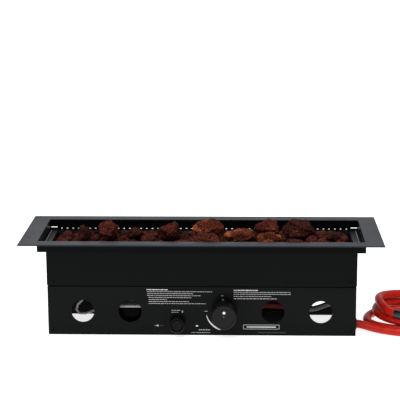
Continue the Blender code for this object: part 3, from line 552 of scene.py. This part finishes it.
def stone_mesh(bm, centre, half, seed, level=4, lump=0.26, pits=1.0):
    """One piece of scoria in bm: blunt corners, hollows and open pores, in real mesh."""
    made = bmesh.ops.create_icosphere(bm, subdivisions=level, radius=1.0)
    shift = Vector((seed * 13.7, seed * 7.3, seed * 3.1))
    turn = Matrix.Rotation(seed * 2.4, 3, "Z") @ Matrix.Rotation(seed * 1.3, 3, "X")
    size = sum(half) / 3.0
    flats = []
    rnd = random.Random(int(seed * 1000) + 5)
    for _ in range(12):                     # broken faces
        d = Vector((rnd.gauss(0, 1), rnd.gauss(0, 1), rnd.gauss(0, 1))).normalized()
        flats.append((d, rnd.uniform(0.60, 0.86)))
    for v in made["verts"]:
        d = v.co.normalized()
        r = 1.0
        for axis, depth in flats:
            reach = d.dot(axis)
            if reach > depth:
                r = min(r, depth / reach + 0.015)
        q = turn @ d
        r *= 1.0 - lump * abs(noise.noise(q * 1.5 + shift)) * 1.1
        r += 0.085 * noise.noise(q * 3.4 + shift)
        r += 0.045 * noise.noise(q * 7.5 + shift * 1.7)
        real = q * (size / 0.024)
        cell = noise.voronoi(real * 3.6 + shift)[0][0]
        r -= pits * 0.085 * max(0.0, 1.0 - cell / 0.33) ** 0.8 * (0.5 + 0.5 * noise.noise(real * 1.2 - shift) + 0.3)
        cell = noise.voronoi(real * 8.0 - shift)[0][0]
        r -= pits * 0.038 * max(0.0, 1.0 - cell / 0.38)
        r += 0.016 * noise.noise(real * 15.0 + shift)
        v.co = Vector((centre[0] + d.x * half[0] * r, centre[1] + d.y * half[1] * r, centre[2] + d.z * half[2] * r)) * MM
    return made["verts"]


def fit_verts(verts, low, high):
    """Scale one stone's points so that it just fills the box from low to high (mm)."""
    a = [min(v.co[k] for v in verts) for k in range(3)]
    b = [max(v.co[k] for v in verts) for k in range(3)]
    for v in verts:
        for k in range(3):
            v.co[k] = (low[k] + (high[k] - low[k]) * (v.co[k] - a[k]) / (b[k] - a[k]) * 1.0) * MM if b[k] > a[k] else v.co[k]


# big stones: name, centre x, centre y, half width, half depth, bottom and top (mm), look, seed, mesh level
BIG = (
    ("lava_rock_01", -201, 4, 13.5, 15, 148, 175, M_LAVA_DARK, 1.3, 4),
    ("lava_rock_02", -160, 8, 17.5, 18, 147, 181, M_LAVA, 2.1, 5),
    ("lava_rock_03", -112, 12, 15.0, 15, 147, 170, M_LAVA_DARK, 3.7, 4),
    ("lava_rock_04", -58, 10, 20.0, 18, 147, 179, M_LAVA, 4.2, 5),
    ("lava_rock_05", 10, 17, 27.5, 18, 148, 184.4, M_LAVA_WARM, 5.9, 5),
    ("lava_rock_06", 7, -27, 26.0, 19, 145, 171, M_LAVA, 6.4, 5),
    ("lava_rock_07", 62, -6, 26.0, 20, 146, 172, M_LAVA_WARM, 7.7, 5),
    ("lava_rock_08", 109, 20, 21.5, 17, 148, 183.5, M_LAVA, 8.8, 5),
    ("lava_rock_09", 113, -26, 21.0, 17, 145, 172.5, M_LAVA_WARM, 9.6, 5),
    ("lava_rock_10", 164, 14, 28.5, 20, 148, 184.4, M_LAVA_DARK, 10.5, 5),
    ("lava_rock_11", 212, -8, 17.5, 18, 146, 169.5, M_LAVA_DARK, 11.2, 4),
)
for name, x, y, ax, ay, low, high, look, seed, level in BIG:
    bm = bmesh.new()
    half = (ax, ay, (high - low) / 2)
    verts = stone_mesh(bm, (x, y, (high + low) / 2), half, seed, level)
    fit_verts(verts, (x - ax, y - ay, low), (x + ax, y + ay, high))
    mesh = bpy.data.meshes.new(name + "_stone")
    bm.to_mesh(mesh)
    bm.free()
    rock = add(name + "_stone", mesh, look, True, 180.0)
    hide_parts(name)
    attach(rock, "burner")

# smaller stones packed round them: centre x, y, half width, half depth, bottom, top, look index, seed
SMALL = (
    (-233, -30, 8.5, 12, 143, 160, 0, 20.1), (-90, -14, 15, 15, 144, 163, 0, 21.2), (-133, -22, 11.5, 13, 144, 162, 0, 22.3),
    (-36, -28, 17, 16, 142, 158, 0, 23.4), (156, -30, 16, 14, 142, 160, 2, 24.5), (200, -30, 15, 14, 142, 162, 1, 25.6),
    (234, -34, 9, 11, 142, 159, 1, 26.7), (240, 4, 8, 12, 142, 158, 2, 27.8), (-72, -32, 14, 13, 142, 157, 0, 28.9),
    (-176, -34, 15, 13, 142, 156, 0, 29.3), (-205, -33, 14, 13, 142, 157, 0, 30.4), (-108, -35, 14, 12, 142, 156, 1, 31.5),
    (-152, -30, 11, 13, 142, 156, 2, 32.6), (45, -38, 13, 11, 142, 156, 0, 33.7), (84, -38, 13, 10, 142, 155, 2, 34.8),
    (182, 26, 12, 14, 144, 165, 2, 35.9), (-232, 6, 11, 14, 142, 156, 2, 36.1), (-234, 33, 10, 14, 142, 158, 0, 37.2),
    (-200, 34, 15, 14, 142, 158, 2, 38.3), (-165, 37, 15, 12, 142, 158, 0, 39.4), (-130, 36, 14, 13, 142, 159, 2, 40.5),
    (-92, 36, 16, 13, 142, 158, 0, 41.6), (-30, 20, 12, 16, 142, 160, 2, 42.7), (-58, 37, 14, 12, 142, 158, 2, 43.8),
    (-22, 38, 14, 11, 142, 157, 0, 44.9), (45, 24, 12, 15, 142, 160, 0, 45.1), (72, 34, 14, 13, 142, 160, 2, 46.2),
    (140, 38, 14, 12, 142, 158, 0, 47.3), (170, 39, 13, 11, 142, 156, 2, 48.4), (204, 34, 14, 14, 142, 159, 0, 49.5),
    (234, 33, 11, 14, 142, 158, 2, 50.6), (-6, 39, 12, 10, 142, 157, 0, 51.7), (100, 41, 13, 9, 142, 156, 0, 52.8),
    (83, 4, 10, 12, 143, 160, 2, 53.9), (-15, -2, 11, 13, 143, 160, 0, 54.2), (137, -6, 9, 13, 143, 160, 2, 55.3),
    (186, -8, 11, 13, 143, 161, 0, 56.4), (-133, 4, 9, 12, 143, 160, 2, 57.5), (-183, 6, 8, 12, 143, 159, 0, 58.6),
    (36, -8, 8, 12, 143, 160, 2, 59.7), (130, -42, 12, 8, 142, 154, 0, 60.8), (176, -42, 10, 8, 142, 154, 0, 61.9),
    (218, -42, 10, 8, 142, 154, 2, 62.1), (20, -44, 12, 7, 142, 153, 2, 63.2), (-10, -42, 12, 8, 142, 154, 0, 64.3),
    (-52, -44, 12, 7, 142, 153, 0, 65.4), (-90, -42, 10, 8, 142, 154, 2, 66.5), (-128, -43, 10, 8, 142, 153, 0, 67.6),
    (64, -44, 10, 7, 142, 152, 0, 68.7), (100, -46, 10, 6, 142, 151, 2, 69.8), (-218, -44, 10, 7, 142, 152, 2, 70.9),
)
bm = bmesh.new()
layer = {}
for x, y, ax, ay, low, high, kind, seed in SMALL:
    start = len(bm.faces)
    verts = stone_mesh(bm, (x, y, (high + low) / 2), (ax, ay, (high - low) / 2), seed, 4)
    fit_verts(verts, (x - ax, y - ay, low), (x + ax, y + ay, high))
    for face in set(f for v in verts for f in v.link_faces):
        face.material_index = kind
# the lowest layer, seen only between the others
floor_rng = random.Random(3)
for i in range(21):
    for j in range(5):
        x = -240 + i * 24 + floor_rng.uniform(-3, 3)
        y = -42 + j * 21 + floor_rng.uniform(-3, 3)
        verts = stone_mesh(bm, (x, y, 144), (12.5, 11.0, 6.5), 80 + i * 5 + j * 0.7, 2)
        low_y, high_y = max(y - 11.5, -52.5), min(y + 11.5, 52.5)
        low_x, high_x = max(x - 13, -253), min(x + 13, 253)
        fit_verts(verts, (low_x, low_y, 138), (high_x, high_y, 150.5 + floor_rng.uniform(-1.5, 1.0)))
        kind = floor_rng.choice((0, 2, 2))
        for face in set(f for v in verts for f in v.link_faces):
            face.material_index = kind
mesh = bpy.data.meshes.new("lava_bed")
bm.to_mesh(mesh)
bm.free()
bed = add("lava_bed", mesh, M_LAVA, True, 180.0)
mesh.materials.append(M_LAVA_WARM)
mesh.materials.append(M_LAVA_DARK)
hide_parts("lava_rock_fill")
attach(bed, "burner")

# ------------------------------------------------------------------ sheet metal with rounded edges
frame_piece = refined("top_frame", M_FRAME, 0.13, 2, 30)
frame_piece.data.materials.append(M_FRAME_PAINTED_SHADE)
frame_piece.data.materials.append(M_RIM)
# the recess walls and the underside take the near-black copy of the frame paint, painted shade; the recess end walls
# take the grey rim paint, a duller copy standing in for their lighter shade
for face in frame_piece.data.polygons:
    if face.center.z + frame_piece.location.z < 0.1662 and abs(face.normal.z) < 0.9 or face.center.z + frame_piece.location.z < 0.1625:
        face.material_index = 2 if abs(face.normal.x) > 0.9 and abs(face.center.x + frame_piece.location.x) < 0.272 else 1
refined("burner_housing", M_BODY, 0.5, 2, 30)
pan_piece = refined("burner_pan", M_PAN, 0.25, 2, 30)
pan_piece.data.materials.append(M_RIM)
pan_piece.data.materials.append(M_FRAME)
pan_piece.data.materials.append(M_RIM_PAINTED_HIGHLIGHT)
# the tops of the pan's end lips take the light grey, a painted highlight on their edge lines; the rim plate takes the
# rim paint and the outer faces the frame paint
for face in pan_piece.data.polygons:
    at = pan_piece.matrix_world @ face.center
    if abs(at.x) > 0.2629 and at.z > 0.1522 and face.normal.z > 0.7:
        face.material_index = 3
    elif abs(at.x) > 0.2629:
        face.material_index = 2
    elif abs(at.x) > 0.2545 and at.z > 0.1522 and face.normal.z > 0.7:
        face.material_index = 3
    elif abs(at.x) > 0.2545 and at.z > 0.150:
        face.material_index = 1
# the two springs, which shorten as the knob and the igniter's button go in, each get a mesh of their own
stem_coil = refined("stem_spring", M_STEEL_Y, 0.0, 2, 60, body="burner")
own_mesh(stem_coil)
button_coil = refined("igniter_spring", M_STEEL_Y, 0.0, 2, 60, body="burner")
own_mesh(button_coil)
module_piece = refined("spark_module", M_MODULE, 0.0, 2, 40)
module_piece.data.materials.append(M_MODULE_PAINTED_HIGHLIGHT)
# the module's upward faces take the light grey: a painted highlight on its top
for face in module_piece.data.polygons:
    if face.normal.z > 0.25:
        face.material_index = 1


def holed_sheet(name, corners, holes, thick_from, thick_to, look, bevel=0.25, sides=96):
    """An upright sheet with round holes: outline and holes in X and Z (mm), between two Y planes."""
    data = bpy.data.curves.new(name, "CURVE")
    data.dimensions = "2D"
    data.fill_mode = "BOTH"
    data.extrude = (thick_to - thick_from) / 2 * MM

    def loop(points):
        sp = data.splines.new("POLY")
        sp.points.add(len(points) - 1)
        for p, (x, z) in zip(sp.points, points):
            p.co = (x * MM, z * MM, 0.0, 1.0)
        sp.use_cyclic_u = True

    (x0, z0), (x1, z1) = corners
    loop([(x0, z0), (x1, z0), (x1, z1), (x0, z1)])
    for x, z, r, n in holes:
        loop([(x + r * math.cos(2 * math.pi * k / n), z + r * math.sin(2 * math.pi * k / n)) for k in range(n)])
    temp = bpy.data.objects.new(name, data)
    SCENE.collection.objects.link(temp)
    bpy.context.view_layer.update()
    mesh = bpy.data.meshes.new_from_object(temp.evaluated_get(bpy.context.evaluated_depsgraph_get()))
    bpy.data.objects.remove(temp)
    mesh.name = name
    mesh.materials.clear()
    # the curve's own Z becomes -Y
    mesh.transform(Matrix.Translation((0, (thick_from + thick_to) / 2 * MM, 0)) @ Matrix.Rotation(math.pi / 2, 4, "X"))
    bm = bmesh.new()
    bm.from_mesh(mesh)
    bmesh.ops.remove_doubles(bm, verts=bm.verts, dist=0.000002)
    bmesh.ops.dissolve_limit(bm, angle_limit=math.radians(0.5), verts=bm.verts, edges=bm.edges)
    bmesh.ops.recalc_face_normals(bm, faces=bm.faces)
    bm.to_mesh(mesh)
    bm.free()
    obj = add(name, mesh, look, True, 30.0)
    mod = obj.modifiers.new("edges", "BEVEL")
    mod.width = bevel * MM
    mod.segments = 2
    mod.limit_method = "ANGLE"
    mod.angle_limit = math.radians(40)
    mod.harden_normals = True
    return obj


VENTS = (-200.0, -120.0, 120.0, 200.0)
KX, KZ = 38.3, 42.0
IX, IZ = -40.5, 22.6
panel = holed_sheet("panel_sheet", ((-258.8, 0.0), (258.8, 84.2)),
                    [(x, 41.5, 19.3, 96) for x in VENTS] + [(KX, KZ, 7.0, 48), (IX, IZ, 11.5, 64),
                                                            (-251.5, 6.4, 1.9, 24), (251.5, 6.4, 1.9, 24)],
                    -57.5, -56.0, M_PANEL, 0.3)
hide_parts("control_panel")
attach(panel, "burner")

# ------------------------------------------------------------------ printing on the panel: plain strokes, no words
ink = bmesh.new()


def stroke(x0, x1, z, height, mat=0):
    made = bmesh.ops.create_cube(ink, size=1.0)
    bmesh.ops.transform(ink, matrix=Matrix.Translation(Vector(((x0 + x1) / 2, -57.53, z)) * MM)
                        @ Matrix.Diagonal(((x1 - x0) * MM, 0.06 * MM, height * MM, 1.0)), verts=made["verts"])
    for face in set(f for v in made["verts"] for f in v.link_faces):
        face.material_index = mat


ink_rng = random.Random(21)


def row(x0, x1, z, height, short=1.6, long=6.5, gap=0.9, mat=0):
    x = x0
    while x < x1 - 1.0:
        w = min(ink_rng.uniform(short, long), x1 - x)
        if w > 0.8:
            stroke(x, x + w, z, height, mat)
        x += w + gap


for x0, x1, z, h, m in (
        (-92.0, -55.9, 79.6, 1.35, 1), (-91.2, 18.1, 76.3, 1.0, 0), (-91.3, -14.1, 72.9, 1.0, 0),
        (-91.3, -1.5, 69.4, 1.0, 0), (-88.7, -15.8, 65.9, 1.0, 0), (-88.7, -57.8, 62.4, 1.0, 0),
        (-88.8, -20.9, 58.9, 1.0, 0), (-88.8, 7.0, 55.4, 1.0, 0),
        (54.0, 95.8, 79.2, 1.35, 1), (54.0, 149.4, 75.8, 1.0, 0), (54.0, 149.4, 72.4, 1.0, 0),
        (54.1, 117.1, 68.6, 1.0, 0), (54.1, 125.6, 64.6, 1.2, 0),
        (-50.4, -35.6, 43.6, 1.0, 0), (-50.4, -38.9, 40.1, 1.0, 0)):
    row(x0, x1, z, h, mat=m)
stroke(5.1, 10.1, 42.2, 0.9)
stroke(33.2, 36.8, 69.6, 0.8)
stroke(34.6, 38.0, 62.4, 0.8)
stroke(-79.4, -76.2, 16.6, 0.5)
stroke(-72.0, -64.6, 16.6, 0.4, 2)
row(-4.5, 14.5, 9.6, 1.5, 1.2, 3.2, 0.7)
row(-17.0, 15.5, 4.6, 1.0, 1.0, 3.0, 0.8)
row(95.0, 142.0, 5.2, 0.7, 1.5, 4.0, 1.0, 2)
# a plain outlined label, and a plain round mark by the fine print
stroke(-9.5, -6.0, 16.4, 2.2, 1)
stroke(70.0, 131.0, 18.6, 0.9)
stroke(70.0, 131.0, 11.4, 0.9)
stroke(70.0, 70.9, 15.0, 7.2)
stroke(130.1, 131.0, 15.0, 7.2)
stroke(76.0, 125.0, 15.0, 1.6, 1)
ink_mesh = bpy.data.meshes.new("panel_print")
ink.to_mesh(ink_mesh)
ink.free()
print_piece = add("panel_print", ink_mesh, M_INK, False)
ink_mesh.materials.append(M_INK_BRIGHT)
ink_mesh.materials.append(M_INK_DIM)
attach(print_piece, "burner")


def flat_shape(name, loops, y, thick, look):
    """A thin printed shape on the panel, from loops of (x, z) in mm, its face at y."""
    bm = bmesh.new()
    for points in loops:
        front = [bm.verts.new((x * MM, (y - thick) * MM, z * MM)) for x, z in points]
        back = [bm.verts.new((x * MM, y * MM, z * MM)) for x, z in points]
        bm.faces.new(front)
        bm.faces.new(list(reversed(back)))
        for k in range(len(points)):
            j = (k + 1) % len(points)
            bm.faces.new((front[j], front[k], back[k], back[j]))
    bmesh.ops.recalc_face_normals(bm, faces=bm.faces)
    mesh = bpy.data.meshes.new(name)
    bm.to_mesh(mesh)
    bm.free()
    return add(name, mesh, look, False)


# the low-to-high wedge round the knob, thin at its upper end
outer, inner = [], []
for k in range(41):
    t = k / 40
    a = math.radians(193.5 + 58.0 * t)
    half = 0.35 + 1.0 * math.sin(min(1.0, t * 1.15) * math.pi / 2) * (1.0 - 0.5 * max(0.0, t - 0.8) / 0.2)
    outer.append((42.6 + (35.2 + half) * math.cos(a), 43.6 + (35.2 + half) * math.sin(a)))
    inner.append((42.6 + (35.2 - half) * math.cos(a), 43.6 + (35.2 - half) * math.sin(a)))
wedge = flat_shape("flame_wedge", [outer + inner[::-1]], -57.5, 0.06, M_INK_BRIGHT)
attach(wedge, "burner")
dot = flat_shape("igniter_mark", [[(-74.0 + 1.7 * math.cos(2 * math.pi * k / 24), 16.6 + 1.7 * math.sin(2 * math.pi * k / 24))
                                   for k in range(24)],
                                  [(-31.9, 43.8), (-30.9, 41.6), (-31.2, 39.9), (-32.1, 39.0), (-33.0, 40.0), (-33.2, 41.4),
                                   (-32.5, 42.4)]], -57.5, 0.06, M_INK)
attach(dot, "burner")

# ------------------------------------------------------------------ knob
knob = turned("knob_dial", [
    (0, 92.0), (16.2, 92.05), (17.6, 92.12), (18.2, 92.4), (19.4, 92.5), (20.1, 92.3), (20.55, 91.8), (20.75, 91.0),
    (21.0, 80.0), (21.25, 66.0), (21.1, 64.6), (20.6, 64.1), (9.0, 64.0), (8.1, 64.4), (8.0, 74.0), (3.3, 74.0), (3.3, 85.8),
    (0, 85.8)], (KX, 0, KZ), (0, -1, 0), M_KNOB, 128, 30)
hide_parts("control_knob")
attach(knob, "knob")
pointer = turned("knob_pointer", [(0, 92.5), (1.9, 92.45), (2.4, 92.2), (2.4, 91.7), (0, 91.7)], (KX, 0, KZ + 8.2),
                 (0, -1, 0), M_INK_BRIGHT, 32, 30)
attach(pointer, "knob")
tick = turned("knob_tick", [(0, 92.35), (0.9, 92.3), (1.1, 92.1), (1.1, 91.8), (0, 91.8)], (KX - 0.6, 0, KZ + 1.6),
              (0, -1, 0), M_INK_DIM, 24, 30)
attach(tick, "knob")

# ------------------------------------------------------------------ igniter
cap_profile = [(10.1, 76.4), (10.6, 77.2), (11.6, 77.5), (12.3, 77.35), (12.8, 76.8), (13.0, 76.0), (13.0, 58.6), (12.7, 57.9),
               (11.6, 57.9), (11.4, 58.2), (11.4, 71.0), (9.9, 71.0), (9.9, 76.0)]
cap = turned("igniter_collar", cap_profile, (IX, 0, IZ), (0, -1, 0), M_IGN, 120, 35)
bm = bmesh.new()
bm.from_mesh(cap.data)
axis = Vector((IX, 0, IZ)) * MM
for v in bm.verts:                      # grip flutes round the outside
    d = Vector((v.co.x - axis.x, 0, v.co.z - axis.z))
    if d.length > 0.0124 and -0.0765 < v.co.y < -0.0582:
        k = round(math.atan2(d.z, d.x) / (2 * math.pi) * 120)
        if k % 5 in (2, 3):
            v.co -= d.normalized() * 0.00045
bm.to_mesh(cap.data)
bm.free()
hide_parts("igniter_cap")
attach(cap, "igniter_cap")
button = turned("igniter_push_button", [
    (0, 75.9), (3.5, 76.0), (6.5, 76.25), (8.2, 76.3), (9.1, 76.05), (9.5, 75.4), (9.6, 74.6), (9.6, 70.7), (11.1, 70.7),
    (11.1, 68.4), (0, 68.4)], (IX, 0, IZ), (0, -1, 0), M_IGN, 72, 30)
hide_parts("igniter_button")
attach(button, "igniter_button")

# ------------------------------------------------------------------ floor, light
floor_mesh = bpy.data.meshes.new("floor")
floor_mesh.from_pydata([(-30, -12, 0), (30, -12, 0), (30, 60, 0), (-30, 60, 0)], [], [(0, 1, 2, 3)])
floor = bpy.data.objects.new("floor", floor_mesh)
SCENE.collection.objects.link(floor)
m_floor = Mat("floor_paper", (0.55, 0.55, 0.55), 0.9, 0.0, 0.1)
m_floor.bsdf.inputs["Emission Color"].default_value = (1.0, 1.0, 1.0, 1.0)
m_floor.bsdf.inputs["Emission Strength"].default_value = 0.80
floor_mesh.materials.append(m_floor.mat)

world = bpy.data.worlds.new("studio")
SCENE.world = world
world.use_nodes = True
world.node_tree.nodes["Background"].inputs["Color"].default_value = (1.0, 1.0, 1.0, 1.0)
world.node_tree.nodes["Background"].inputs["Strength"].default_value = 0.55

sun_data = bpy.data.lights.new("overhead", "SUN")
sun_data.energy = 2.9
sun_data.angle = math.radians(60)
sun = bpy.data.objects.new("overhead", sun_data)
sun.rotation_euler = (math.radians(18), math.radians(-14), 0.0)
SCENE.collection.objects.link(sun)

SCENE.view_settings.view_transform = "Standard"
